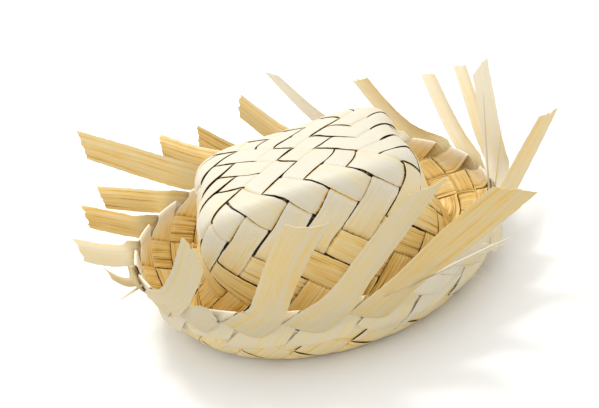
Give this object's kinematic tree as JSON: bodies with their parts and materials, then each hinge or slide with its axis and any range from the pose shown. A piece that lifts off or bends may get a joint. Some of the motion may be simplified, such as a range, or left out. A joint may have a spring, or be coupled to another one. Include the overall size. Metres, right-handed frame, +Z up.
{
  "type": "plaited palm-leaf hat",
  "caption": "Hand-plaited palm-leaf hat with a square-topped crown, a narrow turned-up brim and a swirling fringe of loose strip ends.",
  "frame": {"origin": "centre of the head opening, in the plane that the hat stands on", "axes": "+Z up through the crown, front of the hat towards -Y, +X to the right when it is seen from the front"},
  "size_m": [0.345, 0.3641, 0.1281],
  "materials": {
    "straw": "dried palm leaf, satin, fine lengthwise ribs",
    "bleached_straw": "sun-bleached palm leaf, satin, fine lengthwise ribs"
  },
  "bodies": {
    "root": {"warp_strip_01": "straw", "warp_strip_02": "straw", "warp_strip_03": "straw", "warp_strip_04": "straw", "warp_strip_05": "straw", "warp_strip_06": "straw", "warp_strip_07": "straw", "warp_strip_08": "straw", "warp_strip_09": "straw", "warp_strip_10": "straw", "weft_strip_01": "bleached_straw", "weft_strip_02": "bleached_straw", "weft_strip_03": "bleached_straw", "weft_strip_04": "bleached_straw", "weft_strip_05": "bleached_straw", "weft_strip_06": "bleached_straw", "weft_strip_07": "bleached_straw", "weft_strip_08": "bleached_straw", "weft_strip_09": "bleached_straw", "weft_strip_10": "bleached_straw"}
  },
  "joints": []
}
